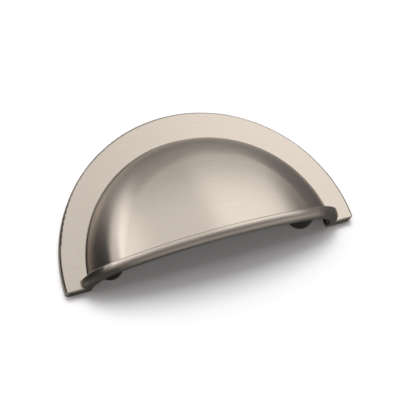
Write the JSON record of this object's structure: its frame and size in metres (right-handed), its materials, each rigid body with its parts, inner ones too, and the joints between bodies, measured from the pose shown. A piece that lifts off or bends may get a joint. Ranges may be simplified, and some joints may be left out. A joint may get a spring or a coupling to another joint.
{
  "type": "cup pull",
  "caption": "Half-round cup pull for a drawer: a flat flange, a hollow domed cup with an arched lip that fingers hook under, and screw bosses inside.",
  "frame": {"origin": "on the back face, midway between the screw holes", "axes": "+X along the length, +Y towards the round side, away from the mouth, +Z out of the drawer front"},
  "size_m": [0.096, 0.048, 0.0222],
  "materials": {
    "brushed_nickel": "brushed satin nickel plating on a zinc die casting"
  },
  "bodies": {
    "root": {"cup_pull": "brushed_nickel"}
  },
  "joints": []
}
